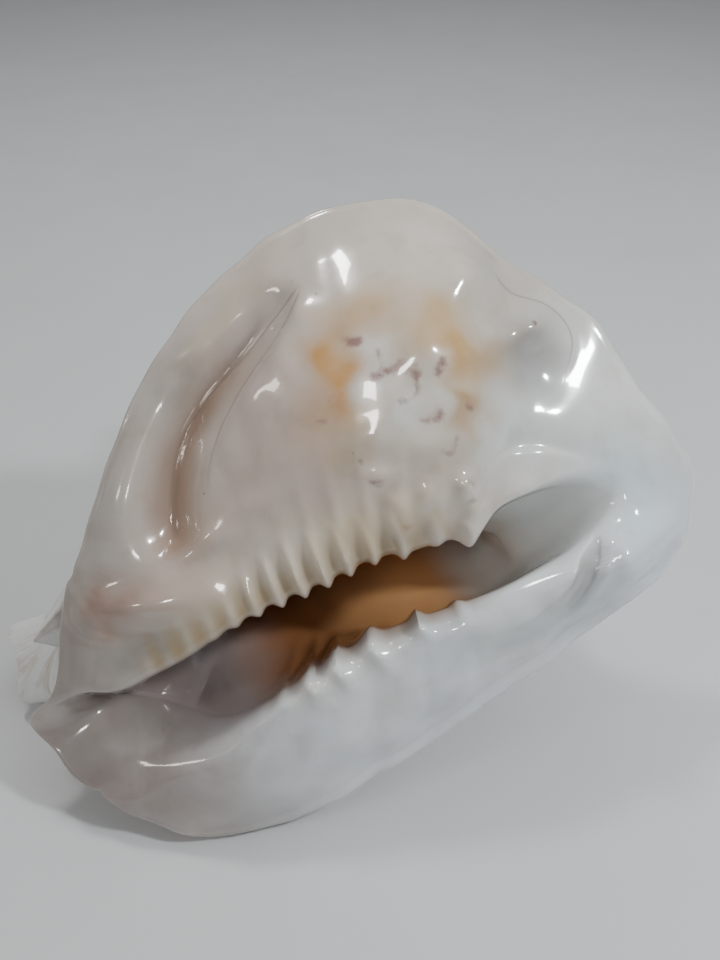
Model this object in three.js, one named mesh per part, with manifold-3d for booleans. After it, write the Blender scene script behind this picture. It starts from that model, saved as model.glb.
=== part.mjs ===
// A horned helmet shell, about 285 mm long: one grown solid.
//
// The shell is drawn in a frame of its own, in millimetres: x runs along the coil axis towards the
// spire, y towards the polished shield and z out of the mouth. At the end it is turned to the pose
// in which it rests, on the corner of its lip, one horn and its spout, with the mouth facing up.
//
// Its skin is one closed grid. A column of the grid is a station round the mouth. The rows run from
// the far end of the coiled hollow along the hollow's wall, up the throat, over the rolled border of
// the mouth and the polished face, round the outer edge and back over the horned body to a pole.
// The two-lobed spout is then joined on, and the canal is cut through it from the mouth.

import * as THREE from 'three';
import Module from 'manifold-3d';

// Driving dimensions, in millimetres, and the coil's ratios.
const LIP_RADIUS = 93; // of the last whorl at the lip
const GROWTH = 1.75; // how many times larger the coil is after one more turn
const LIP_ANGLE = THREE.MathUtils.degToRad(135); // round the axis, from the shield towards the mouth
const APEX_HEIGHT = 88; // of the spire's tip along the axis
const TIP_HEIGHT = -122; // of the last whorl's front end
const SPIRE_SLOPE = 0.52; // fall of the spire for each millimetre outwards
const SUTURE_DIP = 0.2; // how far the spire sinks beside each seam, as a share of the radius
const WALL = 5;
const COLUMN_RADIUS = 10;
const HOLLOW_FLOOR = -104;
const HOLLOW_START = THREE.MathUtils.degToRad(182);
const HOLLOW_TURNS = 1.6;

// How the shell lies: the tilt of its face from the level, and the turn of its axis in the face.
const FACE_TILT = THREE.MathUtils.degToRad(48.8);
const AXIS_TURN = THREE.MathUtils.degToRad(28.2);

// Outer edge of the face: stations from the front tip along the shield, round the back end and home
// along the lip.
const RIM = [
  [-152.5, -20, -14], [-141, -17, -8], [-130, -7, -6], [-120, 9, -6], [-108.5, 21.5, -5],
  [-89, 40, -4], [-70, 57.5, -3], [-48, 73.5, -3], [-23, 85.5, -4], [6, 94, -6], [36, 95, -8],
  [60.5, 86.5, -9], [76, 72.5, -10], [86.5, 51, -13], [99, 30, -14], [109, 10, -15],
  [112, -17.5, -17], [117.5, -45, -20], [113, -68.5, -24], [92, -85, -26], [63, -92, -26],
  [27, -97, -25], [-16.5, -102, -24], [-60.5, -105, -21], [-105.5, -97.5, -17],
  [-133.5, -74, -13], [-148, -48, -12], [-153.5, -29, -13],
];

// Border of the mouth at the same stations.
const MOUTH = [
  [-129, -24, -13], [-124, -22, -5], [-117, -25, 1], [-108, -27, 3], [-99, -27, 4], [-84, -27, 5],
  [-69, -25, 6], [-52, -24, 7], [-37, -25, 8], [-22, -26, 8], [-7, -27, 8], [5, -31, 8],
  [17, -33, 8], [26, -37, 8], [37, -33, 6], [49, -33, 4], [62, -37, -5], [70, -46, -13],
  [69, -55, -12], [59, -60, -5], [44, -60, 1], [25, -59, 4], [-1, -55, 4], [-31, -52, 4],
  [-64, -55, 2], [-92, -54, -10], [-112, -42, -23], [-124, -31, -22],
];

// Height of the face half-way between the mouth and the rim.
const CREST = [
  -12, -6, -2, 0, 2, 3, 3, 5, 12, 20, 24, 24, 20, 10, 0, -4, -9, -14, -13, -4, -1, 1, 2, 1, 0, -5, -14, -15,
];

// The body whorl's outline from its shoulder (0) to its front tip (1), as shares of its radius.
const BODY_PROFILE = [
  [0, 1], [0.12, 0.985], [0.28, 0.92], [0.45, 0.8], [0.6, 0.66], [0.75, 0.48], [0.88, 0.33], [1, 0.22],
  [1.1, 0.05], [1.4, -0.6],
];

// Shoulder horns: angle in degrees, length past the shoulder, radius at the base.
const HORNS = [
  [170, 18, 18], [200, 22, 19], [230, 26.7, 20], [261, 22, 19], [292, 19, 18], [323, 16, 16],
  [354, 13, 14], [22, 9, 12],
];
const HORN_TIP_RADIUS = 5.5;

// Rows of knobs on the body: place on the profile, height, count and start in turns.
const KNOB_ROWS = [[0.36, 3.5, 10, 0.3], [0.6, 2.2, 11, 0.1]];

// The swollen fold that carries the canal, and the spout at its end.
const FOLD_PATH = [[-60, -34, -42], [-96, -24, -38], [-114, -14, -38]];
const FOLD_RADII = [30, 25, 20];
const SPOUT_PATH = [
  [-104, -16, -43], [-116, -13, -38], [-135, -8, -46], [-149, -5, -53], [-164, -1.9, -60.8],
];
const SPOUT_RADII = [12, 20, 19, 18.5, 18];
const SPOUT_FLATNESS = [1, 1, 0.85, 0.72, 0.62];
const SPOUT_LOBE = 4.6; // how far the two lobes of its end stand out
const CANAL_PATH = [
  [-84, -22, -25], [-99, -21, -27], [-112, -19, -29], [-124, -15, -34], [-137, -9.5, -45],
  [-149, -6, -52.5], [-161, -3.5, -58.5], [-178, 0, -67],
];
const CANAL_RADII = [1.5, 6, 8, 9.5, 10.5, 11.5, 12.5, 13.5];
const CANAL_FLATNESS = [1, 1, 1, 0.9, 0.8, 0.7, 0.56, 0.54];

// Features of the face, in x and y: the furrow on the shield, the groove in the lip, and the mounds,
// each with its centre, half-lengths, turn in degrees and height.
const FURROW = [[14, 72], [-12, 61], [-38, 50], [-57, 36], [-68, 18], [-70, 4]];
const LIP_GROOVE = [[71, -61], [62, -70], [47, -77], [25, -79.5], [3, -77.5], [-14, -75]];
const MOUNDS = [
  [-78, 34, 26, 10, 45, 3.5], [-86, -3, 20, 8.5, -23, 7], [69, 46, 10, 10, 0, 6.5],
  [82, 19, 9, 8, 0, 6], [66, 20, 16, 6, 0, 3], [40, 28, 9, 9, 0, 2.5],
];

// Fineness of the grid.
const COLUMNS = 84;
const ROWS = { cap: 2, hollow: 14, throat: 3, roll: 4, face: 8, edge: 4, back: 3, body: 13 };

const STATIONS = RIM.length;
const FULL_TURN = 2 * Math.PI;
const { clamp, degToRad, euclideanModulo, lerp, smoothstep } = THREE.MathUtils;
const vector = (x, y, z) => new THREE.Vector3(x, y, z);
const steps = (count) => Array.from({ length: count }, (_, i) => i);

// The coil's axis and the two directions square to it.
const COIL_CENTRE = vector(0, 8, -48);
const AXIS = vector(1, 0.03, -0.18).normalize();
const TO_SHIELD = vector(0, 1, 0).addScaledVector(AXIS, -AXIS.y).normalize();
const TO_MOUTH = AXIS.clone().cross(TO_SHIELD);

// Where the rays to the body's skin start, and the middle of the back that they close on.
const BODY_CENTRE = vector(8, 6, -52);
const BACK_POLE = vector(-0.25, -0.05, -0.95).normalize();

function smoothMin(a, b, reach) {
  const share = clamp(0.5 + (0.5 * (b - a)) / reach, 0, 1);
  return lerp(b, a, share) - reach * share * (1 - share);
}

function smoothMax(a, b, reach) {
  return -smoothMin(-a, -b, reach);
}

// A value read off rows of [place, value], with smooth joins.
function readProfile(rows, place) {
  const at = clamp(place, rows[0][0], rows.at(-1)[0]);
  const i = clamp(rows.findLastIndex((row) => row[0] <= at), 0, rows.length - 2);
  const slope = (k) => {
    const [x0, y0] = rows[Math.max(k - 1, 0)];
    const [x1, y1] = rows[Math.min(k + 1, rows.length - 1)];
    return (y1 - y0) / (x1 - x0);
  };
  const width = rows[i + 1][0] - rows[i][0];
  const s = (at - rows[i][0]) / width;
  return hermite(rows[i][1], slope(i) * width, rows[i + 1][1], slope(i + 1) * width, s);
}

function hermite(start, leave, end, arrive, s) {
  return (2 * s ** 3 - 3 * s ** 2 + 1) * start + (s ** 3 - 2 * s ** 2 + s) * leave
    + (3 * s ** 2 - 2 * s ** 3) * end + (s ** 3 - s ** 2) * arrive;
}

function hermitePoint(start, leave, end, arrive, s) {
  const parts = ['x', 'y', 'z'].map((k) => hermite(start[k], leave[k], end[k], arrive[k], s));
  return vector(...parts);
}

// Control points of the closed cubic spline that passes through the given rows.
function splineControls(rows) {
  let controls = rows;
  for (let pass = 0; pass < 40; pass += 1) {
    const last = controls;
    controls = rows.map((row, i) => row.map((value, k) => (
      (6 * value - last[(i + STATIONS - 1) % STATIONS][k] - last[(i + 1) % STATIONS][k]) / 4
    )));
  }
  return controls;
}

function readSpline(controls, station) {
  const i = Math.floor(station);
  const t = station - i;
  const weights = [
    (1 - t) ** 3 / 6, (3 * t ** 3 - 6 * t ** 2 + 4) / 6, (-3 * t ** 3 + 3 * t ** 2 + 3 * t + 1) / 6, t ** 3 / 6,
  ];
  return controls[0].map((_, k) => weights.reduce(
    (sum, weight, j) => sum + weight * controls[(i + j - 1 + STATIONS) % STATIONS][k], 0,
  ));
}

// ---- The coil ----

function coilPoint(radius, height, angle) {
  return COIL_CENTRE.clone()
    .addScaledVector(TO_SHIELD, radius * Math.cos(angle))
    .addScaledVector(TO_MOUTH, radius * Math.sin(angle))
    .addScaledVector(AXIS, height);
}

// The shoulder of the last whorl at an angle: its age in turns before the lip, radius and height.
function shoulderAt(angle) {
  const back = euclideanModulo(angle - LIP_ANGLE, FULL_TURN);
  const age = (back / FULL_TURN) * (1 - smoothstep(back, FULL_TURN - 0.6, FULL_TURN));
  const radius = LIP_RADIUS * GROWTH ** -age;
  return { age, radius, height: APEX_HEIGHT - SPIRE_SLOPE * radius };
}

function hornCone([degrees, length, baseRadius]) {
  const angle = degToRad(degrees);
  const { radius, height } = shoulderAt(angle);
  return {
    base: coilPoint(radius - 16, height - 6, angle),
    tip: coilPoint(radius + length - 5, height + 4, angle),
    baseRadius,
    tipRadius: HORN_TIP_RADIUS,
  };
}

const HORN_CONES = HORNS.map(hornCone);
const FOLD_CONES = steps(FOLD_PATH.length - 1).map((i) => ({
  base: vector(...FOLD_PATH[i]),
  tip: vector(...FOLD_PATH[i + 1]),
  baseRadius: FOLD_RADII[i],
  tipRadius: FOLD_RADII[i + 1],
}));

function distanceToCone(point, cone) {
  const along = cone.tip.clone().sub(cone.base);
  const share = clamp(point.clone().sub(cone.base).dot(along) / along.lengthSq(), 0, 1);
  const centre = cone.base.clone().addScaledVector(along, share);
  return point.distanceTo(centre) - lerp(cone.baseRadius, cone.tipRadius, share);
}

// About how far a point is outside the shell's body: below 0 is inside.
function outsideBody(point) {
  const fromCentre = point.clone().sub(COIL_CENTRE);
  const height = fromCentre.dot(AXIS);
  const across = fromCentre.dot(TO_SHIELD);
  const up = fromCentre.dot(TO_MOUTH);
  const radius = Math.hypot(across, up);
  const angle = Math.atan2(up, across);
  const shoulder = shoulderAt(angle);
  const place = (shoulder.height - height) / (shoulder.height - TIP_HEIGHT);
  const side = radius - shoulder.radius * readProfile(BODY_PROFILE, place);

  const turnsIn = -Math.log(Math.max(radius, 0.5) / LIP_RADIUS) / Math.log(GROWTH) - shoulder.age;
  const pastSeam = turnsIn - Math.floor(turnsIn);
  const dip = pastSeam ** 1.5 * (1 - smoothstep(pastSeam, 0.8, 1)) * smoothstep(turnsIn, -0.05, 0.25);
  const top = height - (APEX_HEIGHT - (SPIRE_SLOPE + SUTURE_DIP * dip) * radius);

  let outside = smoothMax(side, top, 12);
  for (const [row, knob, count, offset] of KNOB_ROWS) {
    const ripple = 0.5 + 0.5 * Math.cos(count * angle + offset * FULL_TURN);
    outside -= knob * Math.exp(-(((place - row) / 0.045) ** 2)) * (0.35 + 0.65 * ripple ** 3);
  }
  for (const cone of HORN_CONES) {
    outside = smoothMin(outside, distanceToCone(point, cone), 11);
  }
  for (const cone of FOLD_CONES) {
    outside = smoothMin(outside, distanceToCone(point, cone), 12);
  }
  return outside;
}

// The last point along a ray from the body's centre that is inside the body.
function bodySkin(direction) {
  const at = (distance) => BODY_CENTRE.clone().addScaledVector(direction, distance);
  const stride = 2.75;
  let far = 170;
  while (far > 8 + stride && outsideBody(at(far - stride)) >= 0) {
    far -= stride;
  }
  let near = far - stride;
  for (let pass = 0; pass < 12; pass += 1) {
    const middle = (near + far) / 2;
    if (outsideBody(at(middle)) < 0) {
      near = middle;
    } else {
      far = middle;
    }
  }
  return at((near + far) / 2);
}

// ---- The hollow ----

// Radius at a height of a whorl that is scale times as large as the last one.
function whorlRadius(height, scale) {
  const shoulder = APEX_HEIGHT - SPIRE_SLOPE * LIP_RADIUS * scale;
  const tip = APEX_HEIGHT - (APEX_HEIGHT - TIP_HEIGHT) * scale;
  return LIP_RADIUS * scale * readProfile(BODY_PROFILE, (shoulder - height) / (shoulder - tip));
}

// A point on the wall of the coiled hollow. Round angle 0 is its front end and a half turn its top.
function hollowPoint(round, angle, size = 1) {
  const scale = GROWTH ** (-(angle - LIP_ANGLE) / FULL_TURN);
  const floor = APEX_HEIGHT - (APEX_HEIGHT - HOLLOW_FLOOR) * scale;
  const ceiling = APEX_HEIGHT - SPIRE_SLOPE * LIP_RADIUS * scale - 3 * scale;
  const height = (floor + ceiling) / 2 - ((ceiling - floor) / 2) * size * Math.cos(round);
  const outer = whorlRadius(height, scale) - WALL * (0.4 + 0.6 * scale);
  const pillar = Math.max(whorlRadius(height, scale / GROWTH) + 1, COLUMN_RADIUS * Math.sqrt(scale));
  const inner = Math.min(pillar, outer - 4);
  const side = -Math.sign(Math.sin(round)) * Math.abs(Math.sin(round)) ** 0.6 * size;
  return coilPoint((outer + inner) / 2 + ((outer - inner) / 2) * side, height, angle);
}

// ---- The face ----

function mound(x, y, [centreX, centreY, halfLength, halfWidth, degrees]) {
  const turn = degToRad(degrees);
  const along = (x - centreX) * Math.cos(turn) + (y - centreY) * Math.sin(turn);
  const across = (y - centreY) * Math.cos(turn) - (x - centreX) * Math.sin(turn);
  return Math.exp(-((along / halfLength) ** 2) - (across / halfWidth) ** 2);
}

function drawnLine(points) {
  const curve = new THREE.CatmullRomCurve3(points.map(([x, y]) => vector(x, y, 0)), false, 'catmullrom', 0.5);
  return curve.getPoints(40);
}

const FURROW_LINE = drawnLine(FURROW);
const GROOVE_LINE = drawnLine(LIP_GROOVE);

// How deep a groove along a line is at a point, from 0 to 1. It fades in and out along the line.
function groove(line, x, y, halfWidth, fadeIn, fadeOut) {
  const point = vector(x, y, 0);
  const distances = line.map((p) => p.distanceTo(point));
  const nearest = Math.min(...distances);
  const along = distances.indexOf(nearest) / (line.length - 1);
  const ends = smoothstep(along, 0, fadeIn) * (1 - smoothstep(along, fadeOut, 1));
  return Math.exp(-((nearest / halfWidth) ** 2)) * ends;
}

// The height that the face's own features add. onLip is 0 on the shield and 1 on the lip.
function relief(x, y, onLip) {
  const mounds = MOUNDS.reduce((sum, feature) => sum + feature[5] * mound(x, y, feature), 0);
  const shield = mounds - 9 * groove(FURROW_LINE, x, y, 8.5, 0.25, 0.85);
  return lerp(shield, -6 * groove(GROOVE_LINE, x, y, 4.5, 0.12, 0.55), onLip);
}

// ---- The skin ----

const RIM_CONTROLS = splineControls(RIM);
const MOUTH_CONTROLS = splineControls(MOUTH);
const CREST_CONTROLS = splineControls(CREST.map((height) => [height]));

const bump = (station, centre, width) => Math.exp(-(((station - centre) / width) ** 2));

// What is fixed for one column of the grid.
function stationAt(u) {
  const rim = vector(...readSpline(RIM_CONTROLS, u));
  const mouth = vector(...readSpline(MOUTH_CONTROLS, u));
  const out = vector(rim.x - mouth.x, rim.y - mouth.y, 0);
  const length = out.length();
  const onLip = smoothstep(u, 15.5, 18.5) * (1 - smoothstep(u, 27, 27.9));
  const roll = 4 + 4 * onLip + 14 * bump(u, 17.2, 1.3) + 14 * bump(u, 26, 0.9);
  const edge = 1.8 + 5.2 * smoothstep(u, 13, 17) * (1 - smoothstep(u, 22.5, 25.5));
  return {
    rim,
    mouth,
    out: out.divideScalar(length),
    length,
    onLip,
    crest: readSpline(CREST_CONTROLS, u)[0],
    roll: Math.min(roll, 0.45 * length),
    edge: Math.min(edge, 0.35 * length),
    overhang: 14 + 20 * smoothstep(u, 4, 8) * (1 - smoothstep(u, 10, 14)),
    round: Math.PI * (u < 16.8 ? u / 16.8 : 1 + (u - 16.8) / (STATIONS - 16.8)),
  };
}

// The face of a column at a distance from the mouth's border.
function facePoint(station, distance) {
  const { mouth, rim, crest, out, length, onLip } = station;
  const s = distance / length;
  const x = mouth.x + out.x * distance;
  const y = mouth.y + out.y * distance;
  const swell = mouth.z * (1 - s) * (1 - 2 * s) + 4 * crest * s * (1 - s) + rim.z * s * (2 * s - 1);
  return vector(x, y, swell + relief(x, y, onLip) * smoothstep(s, 0, 0.1) * (1 - smoothstep(s, 0.93, 1)));
}

function hollowRows(station) {
  const far = HOLLOW_START + FULL_TURN * HOLLOW_TURNS;
  const cap = steps(ROWS.cap).map((i) => {
    const bend = ((i + 1) / (ROWS.cap + 1)) * (Math.PI / 2);
    return hollowPoint(station.round, far + 0.16 * Math.cos(bend), Math.sin(bend));
  });
  const tube = steps(ROWS.hollow).map((i) => (
    hollowPoint(station.round, lerp(far, HOLLOW_START, i / (ROWS.hollow - 1)))
  ));
  return [...cap, ...tube];
}

function mouthRows(station) {
  return steps(ROWS.roll).map((i) => {
    const bend = (i / (ROWS.roll - 1)) * (Math.PI / 2);
    const point = facePoint(station, station.roll * (1 - Math.cos(bend)));
    point.z -= station.roll * (1 - Math.sin(bend));
    return point;
  });
}

function faceRows(station) {
  return steps(ROWS.face).map((i) => (
    facePoint(station, lerp(station.roll, station.length - station.edge, (i + 1) / (ROWS.face + 1)))
  ));
}

function edgeRows(station) {
  const top = facePoint(station, station.length - station.edge);
  return steps(ROWS.edge).map((i) => {
    const bend = (0.5 - i / (ROWS.edge - 1)) * Math.PI;
    const point = top.clone().addScaledVector(station.out, station.edge * Math.cos(bend));
    point.z -= station.edge * (1 - Math.sin(bend));
    return point;
  });
}

function bodyRows(station) {
  const neck = station.rim.clone().addScaledVector(station.out, -station.overhang);
  neck.z -= 24 + 10 * station.onLip;
  const start = neck.sub(BODY_CENTRE).normalize();
  const sweep = start.angleTo(BACK_POLE);
  return steps(ROWS.body).map((i) => {
    const turned = (i / ROWS.body) * sweep;
    const direction = start.clone().multiplyScalar(Math.sin(sweep - turned))
      .addScaledVector(BACK_POLE, Math.sin(turned))
      .divideScalar(Math.sin(sweep));
    return bodySkin(direction);
  });
}

// Rows that bridge two stretches on a smooth curve, leaving and arriving in given directions.
function bridge(count, start, leave, end, arrive) {
  return steps(count).map((i) => hermitePoint(start, leave, end, arrive, (i + 1) / (count + 1)));
}

function column(u) {
  const station = stationAt(u);
  const hollow = hollowRows(station);
  const mouth = mouthRows(station);
  const edge = edgeRows(station);
  const body = bodyRows(station);
  const onwards = hollow.at(-1).clone().sub(hollow.at(-2)).setLength(34);
  const inwards = station.out.clone().negate().setZ(-0.25).multiplyScalar(1.2 * station.overhang);
  const overBack = body[1].clone().sub(body[0]).setLength(26);
  return [
    ...hollow,
    ...bridge(ROWS.throat, hollow.at(-1), onwards, mouth[0], vector(0, 0, 22)),
    ...mouth,
    ...faceRows(station),
    ...edge,
    ...bridge(ROWS.back, edge.at(-1), inwards, body[0], overBack),
    ...body,
  ];
}

// ---- Solids ----

// A closed solid from columns of points that run from one pole to the other.
function solidFromColumns(wasm, columns, firstPole, lastPole) {
  const rows = columns[0].length;
  const points = [firstPole, ...columns.flat(), lastPole];
  const last = points.length - 1;
  const triangles = [];
  columns.forEach((_, j) => {
    const here = 1 + j * rows;
    const next = 1 + ((j + 1) % columns.length) * rows;
    triangles.push(0, next, here);
    for (let i = 0; i < rows - 1; i += 1) {
      triangles.push(here + i, next + i + 1, here + i + 1, here + i, next + i, next + i + 1);
    }
    triangles.push(here + rows - 1, next + rows - 1, last);
  });
  return new wasm.Manifold(new wasm.Mesh({
    numProp: 3,
    vertProperties: new Float32Array(points.flatMap((p) => p.toArray())),
    triVerts: new Uint32Array(triangles),
  }));
}

function readEven(values, s) {
  const at = s * (values.length - 1);
  const i = Math.min(Math.floor(at), values.length - 2);
  return lerp(values[i], values[i + 1], at - i);
}

// A tube of oval section along a path. Two opposite lobes of its end stand out by the given amount.
function tubeSolid(wasm, path, radii, flatness, lobe, roundSteps, longSteps) {
  const curve = new THREE.CatmullRomCurve3(path.map((p) => vector(...p)), false, 'catmullrom', 0.5);
  const across = vector(0.47, 0.88, 0);
  const ringPoint = (s, angle) => {
    const forward = curve.getTangent(s);
    const flat = forward.clone().cross(across).normalize();
    const tall = forward.clone().cross(flat);
    const radius = readEven(radii, s);
    return curve.getPoint(s)
      .addScaledVector(flat, radius * readEven(flatness, s) * Math.cos(angle))
      .addScaledVector(tall, radius * Math.sin(angle))
      .addScaledVector(forward, lobe * (1 - 2 * Math.cos(angle) ** 4) * s ** 2);
  };
  const columns = steps(roundSteps).map((j) => (
    steps(longSteps + 1).map((i) => ringPoint(i / longSteps, (j / roundSteps) * FULL_TURN))
  ));
  return solidFromColumns(wasm, columns, curve.getPoint(0), curve.getPoint(1));
}

function skinSolid(wasm) {
  const columns = steps(COLUMNS).map((j) => column((j / COLUMNS) * STATIONS));
  const far = HOLLOW_START + FULL_TURN * HOLLOW_TURNS;
  return solidFromColumns(wasm, columns, hollowPoint(Math.PI / 2, far + 0.16, 0), bodySkin(BACK_POLE));
}

function toGeometry(solid) {
  const { vertProperties, triVerts } = solid.getMesh();
  const geometry = new THREE.BufferGeometry();
  geometry.setAttribute('position', new THREE.BufferAttribute(vertProperties, 3));
  geometry.setIndex(new THREE.BufferAttribute(triVerts, 1));
  geometry.computeVertexNormals();
  return geometry;
}

const wasm = await Module();
wasm.setup();

const spout = tubeSolid(wasm, SPOUT_PATH, SPOUT_RADII, SPOUT_FLATNESS, SPOUT_LOBE, 24, 8);
const canal = tubeSolid(wasm, CANAL_PATH, CANAL_RADII, CANAL_FLATNESS, 0, 16, 14);
const solid = skinSolid(wasm).add(spout).subtract(canal);

const porcelain = new THREE.MeshStandardMaterial({ color: 0xe6dad0, roughness: 0.2, metalness: 0 });
const shell = new THREE.Mesh(toGeometry(solid), porcelain);
shell.name = 'shell';
shell.rotation.set(FACE_TILT, 0, AXIS_TURN);

// The origin is under the middle of the shell, on the surface that it rests on.
const bounds = new THREE.Box3().setFromObject(shell, true);
const middle = bounds.getCenter(vector(0, 0, 0));
shell.position.set(-middle.x, -middle.y, -bounds.min.z);

const object = new THREE.Group();
object.add(shell);

export default object;
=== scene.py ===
"""A horned helmet shell lying on its back on a pale floor, with its mouth facing up and forwards.

The shell is worked out in millimetres in a frame of its own: a runs along the coil axis towards the
spire, l towards the polished shield and v out of the mouth. It is one closed grid of columns round
the mouth, then a spout is joined on, a canal is cut, and it is turned to the pose in which it rests.
"""

import bpy
import numpy as np
from mathutils import Matrix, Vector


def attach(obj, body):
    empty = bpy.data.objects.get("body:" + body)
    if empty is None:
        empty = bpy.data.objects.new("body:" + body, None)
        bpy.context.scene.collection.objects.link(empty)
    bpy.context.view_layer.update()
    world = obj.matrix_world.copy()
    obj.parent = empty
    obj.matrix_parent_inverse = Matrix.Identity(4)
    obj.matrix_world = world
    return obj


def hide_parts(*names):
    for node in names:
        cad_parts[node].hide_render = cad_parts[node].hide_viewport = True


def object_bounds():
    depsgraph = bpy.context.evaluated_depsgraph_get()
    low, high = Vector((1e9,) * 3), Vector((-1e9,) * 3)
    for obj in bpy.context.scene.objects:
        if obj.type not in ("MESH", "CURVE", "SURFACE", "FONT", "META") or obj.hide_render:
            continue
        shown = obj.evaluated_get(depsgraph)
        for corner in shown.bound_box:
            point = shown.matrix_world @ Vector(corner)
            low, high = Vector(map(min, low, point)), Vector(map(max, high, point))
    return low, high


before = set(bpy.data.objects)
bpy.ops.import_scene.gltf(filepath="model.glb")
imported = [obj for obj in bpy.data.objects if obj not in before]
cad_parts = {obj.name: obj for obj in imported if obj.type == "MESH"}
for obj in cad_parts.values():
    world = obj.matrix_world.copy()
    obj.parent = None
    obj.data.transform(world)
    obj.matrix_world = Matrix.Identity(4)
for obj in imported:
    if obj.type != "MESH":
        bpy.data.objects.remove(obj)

CAD_BOX = [list(corner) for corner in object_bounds()]
FULL_TURN = 2 * np.pi

# ---- Dimensions of the shell, in millimetres ----

LIP_RADIUS = 93.0  # of the last whorl at the lip
GROWTH = 1.75  # how many times larger the coil is after one more turn
LIP_ANGLE = np.radians(135)
APEX_HEIGHT = 88.0
TIP_HEIGHT = -122.0
SPIRE_SLOPE = 0.52
SUTURE_DIP = 0.2
WALL = 5.0
COLUMN_RADIUS = 10.0
HOLLOW_FLOOR = -104.0
HOLLOW_START = np.radians(182)
HOLLOW_TURNS = 1.6

FACE_TILT = np.radians(48.8)
AXIS_TURN = np.radians(28.2)

# Outer edge of the face, border of the mouth and height of the face half-way between the two, at
# matching stations from the front tip along the shield, round the back end and home along the lip.
RIM = [
    (-152.5, -20, -14), (-141, -17, -8), (-130, -7, -6), (-120, 9, -6), (-108.5, 21.5, -5),
    (-89, 40, -4), (-70, 57.5, -3), (-48, 73.5, -3), (-23, 85.5, -4), (6, 94, -6), (36, 95, -8),
    (60.5, 86.5, -9), (76, 72.5, -10), (86.5, 51, -13), (99, 30, -14), (109, 10, -15),
    (112, -17.5, -17), (117.5, -45, -20), (113, -68.5, -24), (92, -85, -26), (63, -92, -26),
    (27, -97, -25), (-16.5, -102, -24), (-60.5, -105, -21), (-105.5, -97.5, -17),
    (-133.5, -74, -13), (-148, -48, -12), (-153.5, -29, -13),
]
MOUTH = [
    (-129, -24, -13), (-124, -22, -5), (-117, -25, 1), (-108, -27, 3), (-99, -27, 4), (-84, -27, 5),
    (-69, -25, 6), (-52, -24, 7), (-37, -25, 8), (-22, -26, 8), (-7, -27, 8), (5, -31, 8),
    (17, -33, 8), (26, -37, 8), (37, -33, 6), (49, -33, 4), (62, -37, -5), (70, -46, -13),
    (69, -55, -12), (59, -60, -5), (44, -60, 1), (25, -59, 4), (-1, -55, 4), (-31, -52, 4),
    (-64, -55, 2), (-92, -54, -10), (-112, -42, -23), (-124, -31, -22),
]
CREST = [
    -12, -6, -2, 0, 2, 3, 3, 5, 12, 20, 24, 24, 20, 10, 0, -4, -9, -14, -13, -4, -1, 1, 2, 1, 0,
    -5, -14, -15,
]
STATIONS = len(RIM)
BACK_END = 16.8  # the station at which the mouth's two sides meet

# The body whorl's outline from its shoulder (0) to its front tip (1), as shares of its radius.
BODY_PROFILE = [
    (0, 1), (0.12, 0.985), (0.28, 0.92), (0.45, 0.8), (0.6, 0.66), (0.75, 0.48), (0.88, 0.33),
    (1, 0.22), (1.1, 0.05), (1.4, -0.6),
]

# Shoulder horns: angle in degrees, length past the shoulder, radius at the base.
HORNS = [
    (170, 18, 18), (200, 22, 19), (230, 24.1, 20), (261, 21, 19), (292, 12.5, 18), (323, 12.5, 16),
    (354, 13, 14), (22, 9, 12),
]
HORN_TIP_RADIUS = 5.5
# Rows of knobs on the body: place on the profile, height, count and start in turns.
KNOB_ROWS = [(0.36, 3.5, 10, 0.3), (0.6, 2.2, 11, 0.1)]
CORDS = 13  # fine spiral cords down the body

FOLD_PATH = [(-60, -34, -42), (-96, -24, -38), (-114, -14, -38)]
FOLD_RADII = [30, 25, 20]
SPOUT_PATH = [(-104, -16, -43), (-116, -13, -38), (-135, -8, -46), (-149, -5, -53), (-164, -1.9, -60.8)]
SPOUT_RADII = [12, 20, 19, 18.5, 18]
SPOUT_FLATNESS = [1, 1, 0.85, 0.72, 0.62]
SPOUT_LOBE = 4.6  # how far the two lobes of its end stand out
CANAL_PATH = [
    (-84, -22, -25), (-99, -21, -27), (-112, -19, -29), (-124, -15, -34), (-137, -9.5, -45),
    (-149, -6, -52.5), (-161, -3.5, -58.5), (-178, 0, -67),
]
CANAL_RADII = [1.5, 6, 8, 9.5, 10.5, 11.5, 12.5, 13.5]
CANAL_FLATNESS = [1, 1, 1, 0.9, 0.8, 0.7, 0.56, 0.54]

# Lines on the face, in a and l: the deep furrow, the creases beside it, a fine crack and the groove.
FURROW = [(14, 72), (-12, 61), (-38, 50), (-57, 36), (-68, 18), (-70, 4)]
UPPER_CREASE = [
    (14, 70), (4, 65.5), (-5, 62.5), (-16, 58.5), (-28, 55), (-38, 51.5), (-49, 45), (-60, 34), (-69, 18),
]
LOWER_CREASE = [(14, 69), (4, 60.5), (-5, 55.5), (-14, 51.5), (-25, 45.5), (-36, 38), (-46, 28), (-53, 16)]
HAIRLINE = [
    (79, 44), (80, 38), (82, 34), (86, 30.5), (91, 26), (94, 21), (95.5, 15), (94.5, 9), (91, 4),
    (86, -1), (80, -7),
]
LIP_GROOVE = [
    (70, -59), (65.5, -63.5), (59, -68.2), (52, -73.7), (42, -77), (25, -79.5), (3, -77.5), (-14, -75),
]
LINES = {"hairline": HAIRLINE, "upper_crease": UPPER_CREASE, "lower_crease": LOWER_CREASE}
# Nicks in the rim: station, depth and width.
NICKS = [(3.9, 1.2, 0.14), (25.6, 1.3, 0.045), (22.7, 0.8, 0.1), (21.3, 0.7, 0.08), (23.4, 0.6, 0.07)]
# The long swelling near the front of the shield: centre, half-lengths and turn.
SWELLING = (-86.5, -3.2, 25, 10.5, -17)
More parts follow.
